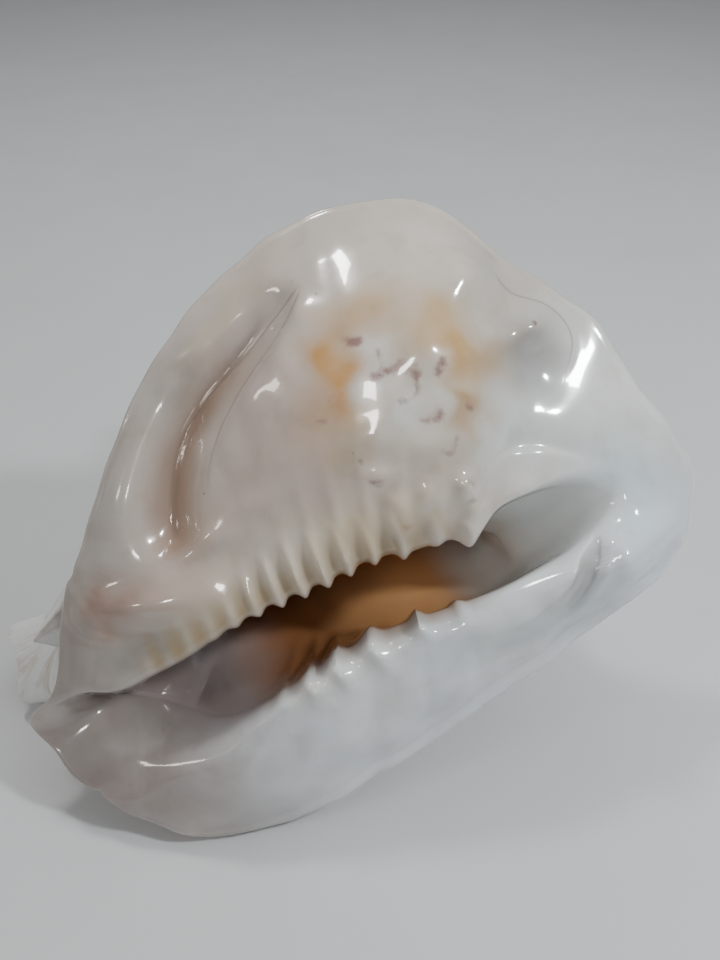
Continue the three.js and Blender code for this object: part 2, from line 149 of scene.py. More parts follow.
# A low step where the shield meets the mouth's back end, and the edge where it laps the front tip.
LEDGE = [(34, -27), (37, -22), (42, -17.5), (49, -16), (56, -17.5), (64, -21.5), (73, -29), (82, -38)]
OVERLAP = [(-156, -21), (-146, -24), (-136, -25.5), (-126, -25)]
# Mounds: centre, half-lengths, turn in degrees and height.
MOUNDS = [
    (-78, 34, 26, 10, 45, 3.5), (-85, -4, 21, 8, -18, 3.0), (69, 46, 10, 10, 0, 6.5),
    (82, 19, 9, 8, 0, 6), (66, 20, 16, 6, 0, 3), (40, 28, 9, 9, 0, 2.5),
    (24, -1, 6, 5, 0, 1.6), (44, -8, 6, 5, 0, 1.4), (18, -15, 5, 4, 30, 2.6), (31, -19, 4.2, 4, 0, 3.8),
    (6, -13, 4, 4, 0, 2.2), (6, -2, 6, 3.5, -30, 1.8), (15.5, -25, 3.5, 3.5, 0, 2.0),
    (45, 8, 6, 5, 0, 1.2), (10, 10, 7, 5, 0, 1), (30, -28, 4, 4, 0, 2), (5, -24, 4, 3.5, 0, 1.4),
    (77, 7, 9, 14, 20, -1.6), (-60, 8, 16, 5, -15, 2.2), (-40, 10, 14, 5, -8, 1.2),
]
# Ribs of the shield's mouth border: place along it, height, half-width and length.
RIBS = [
    (-98, 0.3, 1.7, 12), (-90, 0.4, 1.8, 13), (-81, 0.5, 2.0, 14), (-72, 0.6, 2.2, 14), (-63, 1.1, 2.0, 15),
    (-54, 1.8, 1.9, 19), (-45, 2.3, 1.8, 22), (-36, 2.4, 1.8, 23), (-27, 2.4, 1.8, 23), (-18, 2.3, 1.8, 21),
    (-8.5, 2.2, 1.8, 20), (1.5, 2.1, 1.8, 19), (14, 1.4, 2.4, 10), (25, 2.4, 3.2, 8),
]
# Folds of the lip's mouth border: place along it, height, half-width and length.
LIP_FOLDS = [
    (-61.5, 1.2, 2.8, 14), (-50, 2.4, 3.0, 18), (-38.5, 3.0, 3.2, 20), (-24, 3.2, 3.7, 20),
    (-5.5, 2.7, 2.4, 13), (10, 1.5, 2.1, 9),
]

# The shield's border of the mouth, as l at places along a, and the lip's border.
MOUTH_LINE = ([-80, -50, 0, 30], [-26, -24.5, -28, -37])
LIP_LINE = -52
RIB_LEAN = 0.1  # how far the ribs lean back for each millimetre away from the mouth
FOLD_LEAN = 0.12

# The mouth's back end starts on a slope: station of its middle, spread in stations and steepness.
SLOPE_STATION = 17.4
SLOPE_SPREAD = 1.25
SLOPE = np.radians(58)

# Fineness of the grid.
COLUMNS = 344
ROWS = {"cap": 5, "hollow": 26, "throat": 9, "roll": 13, "face": 80, "edge": 11, "back": 18, "body": 74}


# ---- Small tools ----

def unit(v):
    return v / np.linalg.norm(v, axis=-1, keepdims=True)


def smooth(x, low, high):
    """0 below low, 1 above high, with an S between: t squared times (3 - 2t)."""
    t = np.clip((x - low) / (high - low), 0, 1)
    return t * t * (3 - 2 * t)


def between(x, in_start, in_end, out_start, out_end):
    """Rises from 0 to 1 over the first two places and falls back to 0 over the last two."""
    return smooth(x, in_start, in_end) * (1 - smooth(x, out_start, out_end))


def bump(x, centre, width):
    """e to the minus squared distance from the centre, in widths."""
    return np.exp(-(((x - centre) / width) ** 2))


def hermite(start, leave, end, arrive, s):
    """The cubic that leaves start with one tangent and arrives at end with another, at share s."""
    return (
        (2 * s**3 - 3 * s**2 + 1) * start + (s**3 - 2 * s**2 + s) * leave
        + (3 * s**2 - 2 * s**3) * end + (s**3 - s**2) * arrive
    )


def smooth_min(a, b, reach):
    """The lesser of a and b, with the corner between them rounded over the given reach."""
    share = np.clip(0.5 + 0.5 * (b - a) / reach, 0, 1)
    return b * (1 - share) + a * share - reach * share * (1 - share)


def smooth_max(a, b, reach):
    return -smooth_min(-a, -b, reach)


def closed_spline(rows, u):
    """A closed cubic spline through the rows, one row for each whole number of u."""
    p = np.asarray(rows, float).reshape(len(rows), -1)
    n = len(p)
    blur = (4 + 2 * np.cos(FULL_TURN * np.arange(n) / n)) / 6
    controls = np.fft.ifft(np.fft.fft(p, axis=0) / blur[:, None], axis=0).real
    i = np.floor(u).astype(int)
    t = (u - i)[..., None]
    weights = [
        (1 - t) ** 3 / 6, (3 * t**3 - 6 * t**2 + 4) / 6, (-3 * t**3 + 3 * t**2 + 3 * t + 1) / 6, t**3 / 6,
    ]
    return sum(w * controls[(i + j - 1) % n] for j, w in enumerate(weights))


def read_profile(rows, place):
    """A cubic through rows of (place, value), with each row's slope taken across its neighbours."""
    x, y = np.array(rows, float).T
    slope = np.empty_like(x)
    slope[1:-1] = (y[2:] - y[:-2]) / (x[2:] - x[:-2])
    slope[0], slope[-1] = (y[1] - y[0]) / (x[1] - x[0]), (y[-1] - y[-2]) / (x[-1] - x[-2])
    at = np.clip(place, x[0], x[-1])
    i = np.clip(np.searchsorted(x, at, side="right") - 1, 0, len(x) - 2)
    width = x[i + 1] - x[i]
    return hermite(y[i], slope[i] * width, y[i + 1], slope[i + 1] * width, (at - x[i]) / width)


def drawn_line(points, count=60):
    """A Catmull-Rom curve through the points, at even steps."""
    p = np.asarray(points, float)
    q = np.vstack([2 * p[0] - p[1], p, 2 * p[-1] - p[-2]])
    s = np.linspace(0, len(p) - 1, count)
    i = np.minimum(np.floor(s).astype(int), len(p) - 2)
    t = (s - i)[:, None]
    a, b, c, d = q[i], q[i + 1], q[i + 2], q[i + 3]
    bend, twist = 2 * a - 5 * b + 4 * c - d, 3 * b - a - 3 * c + d
    return 0.5 * (2 * b + (c - a) * t + bend * t**2 + twist * t**3)


def along_line(al, points, count=40):
    """Signed distance to a drawn line (positive on its left) and how far along it, from 0 to 1."""
    line = drawn_line(points, count)
    best = np.full(al.shape[:-1], 1e9)
    side, along = np.zeros_like(best), np.zeros_like(best)
    for k, (start, step) in enumerate(zip(line[:-1], line[1:] - line[:-1])):
        rel = al - start
        share = np.clip(rel @ step / (step @ step), 0, 1)
        gap = np.linalg.norm(rel - share[..., None] * step, axis=-1)
        nearer = gap < best
        best = np.where(nearer, gap, best)
        side = np.where(nearer, np.where(step[0] * rel[..., 1] - step[1] * rel[..., 0] < 0, -1.0, 1.0), side)
        along = np.where(nearer, (k + share) / (len(line) - 1), along)
    return best * side, along


def mound(al, feature):
    """A soft oval hump: e to the minus squared distance, in half-lengths, from its centre."""
    centre_a, centre_l, half_length, half_width, degrees = feature[:5]
    c, s = np.cos(np.radians(degrees)), np.sin(np.radians(degrees))
    x = (al[..., 0] - centre_a) * c + (al[..., 1] - centre_l) * s
    y = (al[..., 1] - centre_l) * c - (al[..., 0] - centre_a) * s
    return np.exp(-((x / half_length) ** 2) - (y / half_width) ** 2)


def groove_width(along):
    """Half the width of the lip's groove: it opens out from a pointed end."""
    return 1.0 + 4.8 * smooth(along, 0, 0.32)


def oval_radius(al, feature):
    """Distance from an oval's centre in half-lengths along and across it: 1 on its outline."""
    return np.sqrt(-np.log(np.maximum(mound(al, feature), 1e-9)))


def waver(points, wavelength, seed, waves=9):
    """A gentle unevenness between about -1 and 1: a sum of sine waves in seeded directions."""
    random = np.random.default_rng(seed)
    ways = unit(random.normal(size=(waves, points.shape[-1]))) * FULL_TURN / wavelength
    ways *= random.uniform(0.7, 1.4, (waves, 1))
    starts = random.uniform(0, FULL_TURN, waves)
    return np.sin(points @ ways.T + starts).sum(-1) / np.sqrt(waves)


# ---- The coil and the body ----

COIL_CENTRE = np.array([0.0, 8.0, -48.0])
AXIS = unit(np.array([1.0, 0.03, -0.18]))
TO_SHIELD = unit(np.array([0.0, 1.0, 0.0]) - AXIS * AXIS[1])
TO_MOUTH = np.cross(AXIS, TO_SHIELD)
BODY_CENTRE = np.array([8.0, 6.0, -52.0])
BACK_POLE = unit(np.array([-0.25, -0.05, -0.95]))


def coil_point(radius, height, angle):
    radius, height, angle = (np.asarray(x, float)[..., None] for x in (radius, height, angle))
    return COIL_CENTRE + radius * (np.cos(angle) * TO_SHIELD + np.sin(angle) * TO_MOUTH) + height * AXIS


def coil_place(points):
    """Radius, height and angle of points about the coil's axis."""
    rel = points - COIL_CENTRE
    across, up = rel @ TO_SHIELD, rel @ TO_MOUTH
    return np.hypot(across, up), rel @ AXIS, np.arctan2(up, across)


def shoulder_at(angle):
    """The last whorl's shoulder: its age in turns before the lip, its radius and its height."""
    back = (angle - LIP_ANGLE) % FULL_TURN
    age = back / FULL_TURN * (1 - smooth(back, FULL_TURN - 0.6, FULL_TURN))
    radius = LIP_RADIUS * GROWTH**-age
    return age, radius, APEX_HEIGHT - SPIRE_SLOPE * radius


def outside_cone(points, base, tip, base_radius, tip_radius):
    """Distance to a cone with round ends: the gap to its centre line less the radius there."""
    line = tip - base
    share = np.clip((points - base) @ line / (line @ line), 0, 1)
    gap = np.linalg.norm(points - base - share[..., None] * line, axis=-1)
    return gap - (base_radius + (tip_radius - base_radius) * share)


def outside_body(points):
    """About how far points are outside the body: below 0 is inside.

    The whorl is its profile swept round the axis while it shrinks by the growth for each turn. The
    spire above it is a cone that dips after each seam. Knobs and cords stand on it as bands of
    cosines, and the horns and the swollen fold are round cones, blended on.
    """
    radius, height, angle = coil_place(points)
    age, shoulder_radius, shoulder_height = shoulder_at(angle)
    place = (shoulder_height - height) / (shoulder_height - TIP_HEIGHT)
    side = radius - shoulder_radius * read_profile(BODY_PROFILE, place)

    turns_in = -np.log(np.maximum(radius, 0.5) / LIP_RADIUS) / np.log(GROWTH) - age
    past_seam = turns_in - np.floor(turns_in)
    dip = past_seam**1.5 * (1 - smooth(past_seam, 0.8, 1)) * smooth(turns_in, -0.05, 0.25)
    top = height - (APEX_HEIGHT - (SPIRE_SLOPE + SUTURE_DIP * dip) * radius)
    spire_knobs = np.exp(-(((past_seam - 0.12) / 0.1) ** 2)) * smooth(turns_in, 0.9, 1.1)
    top -= 0.035 * radius * spire_knobs * (0.5 + 0.5 * np.cos(11 * angle)) ** 2

    outside = smooth_max(side, top, 12.0)
    for row, knob, count, start in KNOB_ROWS:
        ripple = 0.5 + 0.5 * np.cos(count * angle + start * FULL_TURN)
        outside -= knob * np.exp(-(((place - row) / 0.045) ** 2)) * (0.35 + 0.65 * ripple**3)
    on_side = smooth(place, 0.08, 0.2) * (1 - smooth(place, 0.7, 0.85))
    outside -= 0.45 * np.cos(FULL_TURN * place * CORDS) * on_side
    outside -= 0.25 * np.sin(64 * angle + 1.5 * np.sin(5 * height / 30)) * on_side
    for degrees, length, base_radius in HORNS:
        turn = np.radians(degrees)
        _, r, h = shoulder_at(turn)
        base, tip = coil_point(r - 16, h - 6, turn), coil_point(r + length - 5, h + 4, turn)
        outside = smooth_min(outside, outside_cone(points, base, tip, base_radius, HORN_TIP_RADIUS), 11.0)
    fold = np.array(FOLD_PATH, float)
    for k in range(len(fold) - 1):
        cone = outside_cone(points, fold[k], fold[k + 1], FOLD_RADII[k], FOLD_RADII[k + 1])
        outside = smooth_min(outside, cone, 12.0)
    return outside


def body_skin(directions):
    """The last point inside the body along rays from its centre: found by steps, then by halving."""
    rays = directions.reshape(-1, 3)
    distances = np.linspace(8, 170, 60)
    inside = np.stack([outside_body(BODY_CENTRE + rays * d) < 0 for d in distances])
    last = np.minimum(len(distances) - 1 - np.argmax(inside[::-1], axis=0), len(distances) - 2)
    near, far = distances[last], distances[last + 1]
    for _ in range(14):
        middle = (near + far) / 2
        within = outside_body(BODY_CENTRE + rays * middle[:, None]) < 0
        near, far = np.where(within, middle, near), np.where(within, far, middle)
    return (BODY_CENTRE + rays * ((near + far) / 2)[:, None]).reshape(directions.shape)


# ---- The hollow ----

def whorl_radius(height, scale):
    """Radius at a height of a whorl that is scale times as large as the last one."""
    shoulder = APEX_HEIGHT - SPIRE_SLOPE * LIP_RADIUS * scale
    tip = APEX_HEIGHT - (APEX_HEIGHT - TIP_HEIGHT) * scale
    return LIP_RADIUS * scale * read_profile(BODY_PROFILE, (shoulder - height) / (shoulder - tip))


def hollow_ring(around, angle, size=1.0):
    """A ring of the coiled hollow in the half-plane at an angle round the axis.

    Its height is the cosine of around between floor and ceiling. Its radius swings between the
    pillar and the outer wall as the sine of around to the power 0.6. Each turn in is smaller by
    the growth.
    """
    scale = GROWTH ** (-(angle - LIP_ANGLE) / FULL_TURN)
    floor = APEX_HEIGHT - (APEX_HEIGHT - HOLLOW_FLOOR) * scale
    ceiling = APEX_HEIGHT - SPIRE_SLOPE * LIP_RADIUS * scale - 3 * scale
    height = (floor + ceiling) / 2 - (ceiling - floor) / 2 * size * np.cos(around)
    outer = whorl_radius(height, scale) - WALL * (0.4 + 0.6 * scale)
    pillar = np.maximum(whorl_radius(height, scale / GROWTH) + 1, COLUMN_RADIUS * scale**0.5)
    inner = np.minimum(pillar, outer - 4)
    side = -np.sign(np.sin(around)) * np.abs(np.sin(around)) ** 0.6 * size
    return coil_point((outer + inner) / 2 + (outer - inner) / 2 * side, height, np.full_like(around, angle))


# ---- The face ----

def even_columns():
    """Stations of the columns, closer together along the ribs and the folds of the lip."""
    fine = np.linspace(0, STATIONS, 4000)
    crowd = 1 + 0.7 * smooth(fine, 5, 6.5) * (1 - smooth(fine, 12.5, 14))
    crowd += 0.7 * smooth(fine, 20.5, 21.5) * (1 - smooth(fine, 24, 25))
    total = np.concatenate([[0], np.cumsum((crowd[1:] + crowd[:-1]) / 2)])
    return np.interp(np.arange(COLUMNS) / COLUMNS * total[-1], total, fine)


class Face:
    """The polished face: shield, lip and mouth border, as heights over the a-l plane."""

    def __init__(self):
        u = self.u = even_columns()
        self.on_lip = smooth(u, 15.5, 18.5) * (1 - smooth(u, 27.0, 27.9))
        self.rim = closed_spline(RIM, u)
        self.mouth = closed_spline(MOUTH, u)
        self.crest = closed_spline(CREST, u)[:, 0]
        out = self.rim[:, :2] - self.mouth[:, :2]
        length = np.linalg.norm(out, axis=1)
        self.out = out / length[:, None]
        # The rim wavers a little, and the ribs and folds reach into the mouth.
        wobble = 0.5 * waver(self.rim[:, :2], 26, 3) - 0.2
        chip = sum(deep * bump(u, station, wide) for station, deep, wide in NICKS)
        shield_side = smooth(u, 5, 6) * (1 - smooth(u, 13.5, 14.2))
        lip_side = smooth(u, 19.5, 20.5) * (1 - smooth(u, 25, 25.5))
        reach = shield_side * sum(1.25 * h * bump(self.mouth[:, 0], a, 1.15 * w) for a, h, w, _ in RIBS)
        reach += lip_side * sum(1.15 * h * bump(self.mouth[:, 0], a, w) for a, h, w, _ in LIP_FOLDS)
        self.mouth = self.mouth - np.column_stack([self.out * reach[:, None], np.zeros(len(u))])
        self.rim = self.rim + np.column_stack([self.out * (wobble - chip)[:, None], np.zeros(len(u))])
        self.length = length = length + reach + wobble - chip
        roll = 4.0 + 4.0 * self.on_lip + 14 * bump(u, 17.2, 1.3) + 14 * bump(u, 26, 0.9)
        roll -= 1.2 * shield_side * smooth(self.mouth[:, 0], -80, -60)
        edge = 1.8 + 5.2 * smooth(u, 13, 17) * (1 - smooth(u, 22.5, 25.5))
        self.roll = np.minimum(roll, length * 0.45)
        self.edge = np.minimum(edge, length * 0.35)

    def shield_relief(self, al):
        """Height added on the shield: mounds, a furrow with fine strands, creases that step down by a
        tanh of the distance to a line, ribs along l that fade from the mouth, and a long swelling."""
        height = sum(feature[5] * mound(al, feature) for feature in MOUNDS)
        gap, along = along_line(al, FURROW)
        height -= 9.0 * bump(gap, 0, 8.5) * between(along, 0, 0.25, 0.85, 1)
        strands = np.sin(FULL_TURN * (gap / 2.9 + 0.4 * along)) + 0.6 * np.sin(FULL_TURN * gap / 1.9)
        height += 0.2 * strands * bump(gap, 0, 7.5) * between(along, 0.1, 0.35, 0.8, 1)
        for line, depth, width, fade in ((UPPER_CREASE, 2.0, 2.3, 0.5), (LOWER_CREASE, 1.7, 2.1, 0.45)):
            gap, along = along_line(al, line)
            height += depth * np.tanh(gap / width) * bump(gap, 0, 9) * between(along, 0, 0.12, fade, 1)
        gap, along = along_line(al, HAIRLINE)
        height -= 1.1 * np.tanh(gap / 1.8) * bump(gap, 0, 8) * between(along, 0, 0.15, 0.7, 1)
        past_border = al[..., 1] - np.interp(al[..., 0], *MOUTH_LINE)
        for place, rise, width, reach in RIBS:
            fade = 1 - smooth(past_border, 0.25 * reach, reach)
            height += rise * bump(al[..., 0], place + RIB_LEAN * past_border, width) * fade
        bulge = oval_radius(al, SWELLING)
        front_end = smooth(-al[..., 0], 72, 92)
        height += 4.2 * (1 - smooth(bulge, -0.2, 1.02)) * (1 + 0.9 * bulge**2) * front_end
        height += 3.6 * (1 - smooth(bulge, 0, 1.35)) * (1 - front_end)
        far_front = smooth(-al[..., 0], 92, 104) * (1 - smooth(np.abs(al[..., 1] - 2), 7, 14))
        height += 0.3 * far_front * (bump(bulge, 1.2, 0.06) + bump(bulge, 1.42, 0.06))
        gap, along = along_line(al, LEDGE)
        height -= 0.8 * (1 + np.tanh(gap / 1.2)) * bump(gap, 0, 7) * between(along, 0, 0.15, 0.75, 1)
        gap, along = along_line(al, OVERLAP)
        return height + 1.6 * bump(gap, 0, 5) * (1 - smooth(along, 0.8, 1))

    def lip_relief(self, al):
        """Height added on the lip: a gentle waver and folds that fade from the mouth."""
        height = 0.9 * waver(al, 30, 12)
        past_border = LIP_LINE - al[..., 1]
        for place, rise, width, reach in LIP_FOLDS:
            fade = 1 - smooth(past_border, 0.2 * reach, reach)
            height += rise * bump(al[..., 0], place + FOLD_LEAN * past_border, width) * fade
        return height

    def groove_relief(self, al):
        """The lip's groove: it falls by an S across its line, then climbs back half-way at once and
        the rest slowly."""
        gap, along = along_line(al, LIP_GROOVE)
        across = gap / groove_width(along)
        climb = 0.5 * smooth(across, 0.4, 1.1) + 0.5 * smooth(across, 1.1, 3.6)
        sunk = smooth(across, -1.1, 0.4) * (1 - climb)
        return -6.0 * sunk * between(along, 0, 0.2, 0.45, 0.98)

    def relief(self, al):
        """Height added by the features of the shield and the lip, each on its own side."""
        sides = self.shield_relief(al) * (1 - self.on_lip) + self.lip_relief(al) * self.on_lip
        return sides + self.groove_relief(al) + 0.3 * waver(al, 34, 7)

    def at(self, distance):
        """Points of the face at distances from the mouth's border: a parabola through the heights of
        border, crest and rim, plus the relief."""
        s = distance / self.length
        al = self.mouth[:, :2] + self.out * distance[..., None]
        height = (
            self.mouth[:, 2] * (1 - s) * (1 - 2 * s) + 4 * self.crest * s * (1 - s)
            + self.rim[:, 2] * s * (2 * s - 1)
        )
        height = height + self.relief(al) * smooth(s, 0, 0.06) * (1 - smooth(s, 0.93, 1))
        return np.dstack([al, height])

    def mouth_rows(self):
        """A round roll from the inside of the mouth to level with the face. It starts straight down,
        except at the mouth's back end, where it starts on a slope."""
        start = SLOPE * bump(self.u, SLOPE_STATION, SLOPE_SPREAD)
        bend = start + (np.pi / 2 - start) * np.linspace(0, 1, ROWS["roll"])[:, None]
        points = self.at(self.roll * (1 - np.cos(bend)))
        points[..., 2] -= self.roll * (1 - np.sin(bend))
        return points

    def face_rows(self):
        share = np.linspace(0, 1, ROWS["face"] + 2)[1:-1, None] ** 1.12
        return self.at(self.roll + (self.length - self.edge - self.roll) * share)

    def edge_rows(self):
        """A half-round from the top of the rim to the underside."""
        bend = np.linspace(np.pi / 2, -np.pi / 2, ROWS["edge"])[:, None]
        points = self.at(np.broadcast_to(self.length - self.edge, (ROWS["edge"], COLUMNS))).copy()
        points[..., :2] += self.out * (self.edge * np.cos(bend))[..., None]
        points[..., 2] -= self.edge * (1 - np.sin(bend))
        return points


def bridge(count, start, leave, end, arrive):
    """Rows that join two stretches on a smooth cubic."""
    s = np.linspace(0, 1, count + 2)[1:-1, None, None]
    return hermite(start, leave, end, arrive, s)


def shell_grid():
    """All rows from the hollow's far end to the back pole, with the two poles and each row's wear.

    The marks for each row are: depth, from 0 on the face to 1 far inside, and glaze, from 1 where
    the shell is polished to 0 on the chalky back.
    """
    face = Face()
    u = face.u
    around = np.pi * np.where(u < BACK_END, u / BACK_END, 1 + (u - BACK_END) / (STATIONS - BACK_END))
    far = HOLLOW_START + FULL_TURN * HOLLOW_TURNS
    bends = np.linspace(0, np.pi / 2, ROWS["cap"] + 1)[1:]
    cap = [hollow_ring(around, far + 0.16 * np.cos(b), np.sin(b)) for b in bends]
    tube = [hollow_ring(around, turn) for turn in np.linspace(far, HOLLOW_START, ROWS["hollow"])]
    hollow = np.stack(cap + tube)
    roll, flat, edge = face.mouth_rows(), face.face_rows(), face.edge_rows()
    onwards = unit(hollow[-1] - hollow[-2]) * 34
    reach = 22 + 16 * bump(u, SLOPE_STATION, SLOPE_SPREAD)[:, None]
    throat = bridge(ROWS["throat"], hollow[-1], onwards, roll[0], reach * unit(roll[1] - roll[0]))

    overhang = 14 + 20 * smooth(u, 4, 8) * (1 - smooth(u, 10, 14))
    neck_height = face.rim[:, 2] - 24 - 10 * face.on_lip
    neck = np.column_stack([face.rim[:, :2] - face.out * overhang[:, None], neck_height])
    start = unit(neck - BODY_CENTRE)
    sweep = np.arccos(start @ BACK_POLE)[:, None]
    turned = (np.arange(ROWS["body"]) / ROWS["body"])[:, None, None] * sweep
    body = body_skin((np.sin(sweep - turned) * start + np.sin(turned) * BACK_POLE) / np.sin(sweep))
    inwards = np.column_stack([-face.out, np.full(COLUMNS, -0.25)]) * (1.2 * overhang)[:, None]
    back = bridge(ROWS["back"], edge[-1], inwards, body[0], unit(body[1] - body[0]) * 26)

    rows = np.concatenate([hollow, throat, roll, flat, edge, back, body])
    depth = np.concatenate([
        np.ones(len(hollow)), np.linspace(1, 0.35, len(throat) + 2)[1:-1],
        np.linspace(0.35, 0.02, len(roll)), np.zeros(len(flat) + len(edge) + len(back) + len(body)),
    ])
    glaze = np.concatenate([
        np.ones(len(hollow) + len(throat) + len(roll) + len(flat) + len(edge)),
        1 - np.linspace(0, 1, len(back)), np.zeros(len(body)),
    ])
    first = hollow_ring(np.array([np.pi / 2]), far + 0.16, 0.0)
    last = body_skin(BACK_POLE[None])
    marks = {
        "depth": np.repeat(depth, COLUMNS), "glaze": np.repeat(glaze, COLUMNS),
        "lip": np.tile(face.on_lip, len(rows)),
    }
    return rows, first, last, marks


# ---- Meshes ----

def closed_mesh(name, rows, first, last, marks):
    """A closed mesh from rows of points that run from one pole to the other, each row a ring."""
    count, round_count, _ = rows.shape
    points = np.vstack([first, rows.reshape(-1, 3), last])
    j = np.arange(round_count)
    beside = (j + 1) % round_count
    i = 1 + np.arange(count - 1)[:, None] * round_count
    quads = np.stack([i + j, i + round_count + j, i + round_count + beside, i + beside], -1).reshape(-1, 4)
    end = 1 + (count - 1) * round_count
    first_fan = np.stack([np.zeros_like(j), 1 + j, 1 + beside], -1)
    last_fan = np.stack([end + j, np.full_like(j, len(points) - 1), end + beside], -1)
    faces = [face for part in (quads, first_fan, last_fan) for face in part[:, ::-1].tolist()]
    mesh = bpy.data.meshes.new(name)
    mesh.from_pydata(points.tolist(), [], faces)
    for mark, values in marks.items():
        add_mark(mesh, mark, np.concatenate([values[:1], values, values[-1:]]))
    mesh.update()
    piece = bpy.data.objects.new(name, mesh)
    bpy.context.scene.collection.objects.link(piece)
    return piece


def oval_tube(name, path, radii, flatness, lobe, round_steps, long_steps, marks):
    """An oval profile carried along a path.

    Two opposite lobes of its end stand out by the lobe length times 1 - 2 cos(angle)^4 times the
    square of the share along it. Its end has a small round.
    """
    line = drawn_line(path, long_steps)
    forward = unit(np.gradient(line, axis=0))
    flat = unit(np.cross(forward, np.array([0.47, 0.88, 0.0])))
    tall = np.cross(forward, flat)
    share = np.linspace(0, 1, long_steps)
    radius = np.interp(share, np.linspace(0, 1, len(radii)), radii)
    squash = np.interp(share, np.linspace(0, 1, len(flatness)), flatness)
    angle = np.arange(round_steps) / round_steps * FULL_TURN

    def ring(k, shrink, ahead):
        r = radius[k] - shrink
        lean = lobe * (1 - 2 * np.cos(angle) ** 4) * share[k] ** 2 + ahead
        return (
            line[k] + flat[k] * (r * squash[k] * np.cos(angle))[:, None]
            + tall[k] * (r * np.sin(angle))[:, None] + forward[k] * lean[:, None]
        )

    rows = [ring(k, 0, -1.6 * share[k] ** 4) for k in range(long_steps)]
    bends = np.linspace(0, np.pi / 2, 5)[1:]
    rows += [ring(-1, 1.6 * (1 - np.cos(b)), 1.6 * (np.sin(b) - 1)) for b in bends]
    rows = np.stack(rows)
    values = {mark: np.full(rows.shape[0] * round_steps, value) for mark, value in marks.items()}
    return closed_mesh(name, rows, line[:1], line[-1:], values)


def join_or_cut(piece, tool, operation):
    change = piece.modifiers.new("join", "BOOLEAN")
    change.operation, change.object, change.solver = operation, tool, "MANIFOLD"
    graph = bpy.context.evaluated_depsgraph_get()
    mesh = bpy.data.meshes.new_from_object(piece.evaluated_get(graph))
    piece.modifiers.clear()
    piece.data = mesh
    bpy.data.objects.remove(tool)


def read_points(mesh):
    points = np.empty(len(mesh.vertices) * 3, np.float32)
    mesh.vertices.foreach_get("co", points)
    return points.reshape(-1, 3).astype(float)


def read_mark(mesh, mark):
    values = np.empty(len(mesh.vertices), np.float32)
    mesh.attributes[mark].data.foreach_get("value", values)
    return values.astype(float)


def add_mark(mesh, mark, values):
    mesh.attributes.new(mark, "FLOAT", "POINT").data.foreach_set("value", values.astype(np.float32))


def add_colour(mesh, mark, colours):
    opaque = np.column_stack([colours, np.ones(len(colours))]).astype(np.float32)
    mesh.attributes.new(mark, "FLOAT_COLOR", "POINT").data.foreach_set("color", opaque.ravel())


# ---- Colours ----

# Soft patches of colour on the face: centre a and l, half-lengths, turn, colour and strength.
PATCHES = [
    (-20, 62, 60, 34, 30, (0.66, 0.57, 0.52), 0.75),
    # Painted shade over the front tip's own grey-pink.
    (-112, 0, 46, 45, 0, (0.30, 0.26, 0.24), 0.90),
    (-40, 8, 24, 16, -20, (0.52, 0.44, 0.39), 0.60),
    (-32, 67, 38, 6, 26, (0.58, 0.49, 0.33), 0.60),
    (-60, 54, 34, 14, 36, (0.30, 0.28, 0.26), 0.80),
    (-66, 22, 22, 34, 0, (0.48, 0.36, 0.29), 0.70),
    (-88, 36, 18, 36, -42, (0.40, 0.36, 0.33), 0.75),
    (-10, 10, 36, 26, 0, (0.70, 0.60, 0.51), 0.60),
    (-101, 1, 9, 8, -20, (0.50, 0.27, 0.18), 0.80),
    # The next two patches: the front of the shield's own colour, darkened by painted shade.
    (-84, -5, 18, 8, -18, (0.44, 0.33, 0.28), 0.70),
    (-84, -20, 22, 7, -8, (0.40, 0.36, 0.25), 0.60),
    (-30, -14, 40, 12, 0, (0.74, 0.66, 0.52), 0.60),
    (-2, -16, 20, 8, 0, (0.72, 0.58, 0.36), 0.55),
    (24, 20, 30, 26, 10, (0.70, 0.63, 0.55), 0.70),
    (-12, 34, 20, 26, 25, (0.60, 0.47, 0.42), 0.70),
    (2, 22, 13, 14, 0, (0.58, 0.40, 0.26), 0.75),
    (10, 37, 7, 13, -10, (0.62, 0.28, 0.03), 0.97),
    (27, 49, 15, 8, 10, (0.58, 0.38, 0.19), 0.85),
    (45, 34, 14, 11, 0, (0.58, 0.38, 0.18), 0.85),
    (50, 22, 6, 12, 15, (0.56, 0.31, 0.08), 0.92),
    (42, 5, 6, 11, 25, (0.46, 0.25, 0.07), 0.95),
    (62, 16, 14, 6, 0, (0.58, 0.38, 0.20), 0.75),
    (8, 12, 12, 7, 20, (0.50, 0.42, 0.30), 0.60),
    (34, -8, 12, 7, 10, (0.55, 0.45, 0.32), 0.60),
    (78, 8, 14, 18, 10, (0.30, 0.28, 0.26), 0.85),
    (88, 36, 9, 9, 0, (0.50, 0.45, 0.40), 0.55),
    (19, 23, 8, 8, 0, (0.78, 0.75, 0.67), 0.75),
    (24, 13, 9, 5, 30, (0.80, 0.82, 0.78), 0.75),
    (24, 35, 6, 5, 0, (0.82, 0.80, 0.76), 0.65),
    (36, 12, 4, 8, 0, (0.74, 0.76, 0.70), 0.60),
    (58, 60, 16, 22, 30, (0.74, 0.70, 0.62), 0.50),
    (62, -12, 22, 14, 0, (0.74, 0.80, 0.82), 0.70),
    (100, -20, 26, 40, 0, (0.80, 0.85, 0.84), 0.75),
]
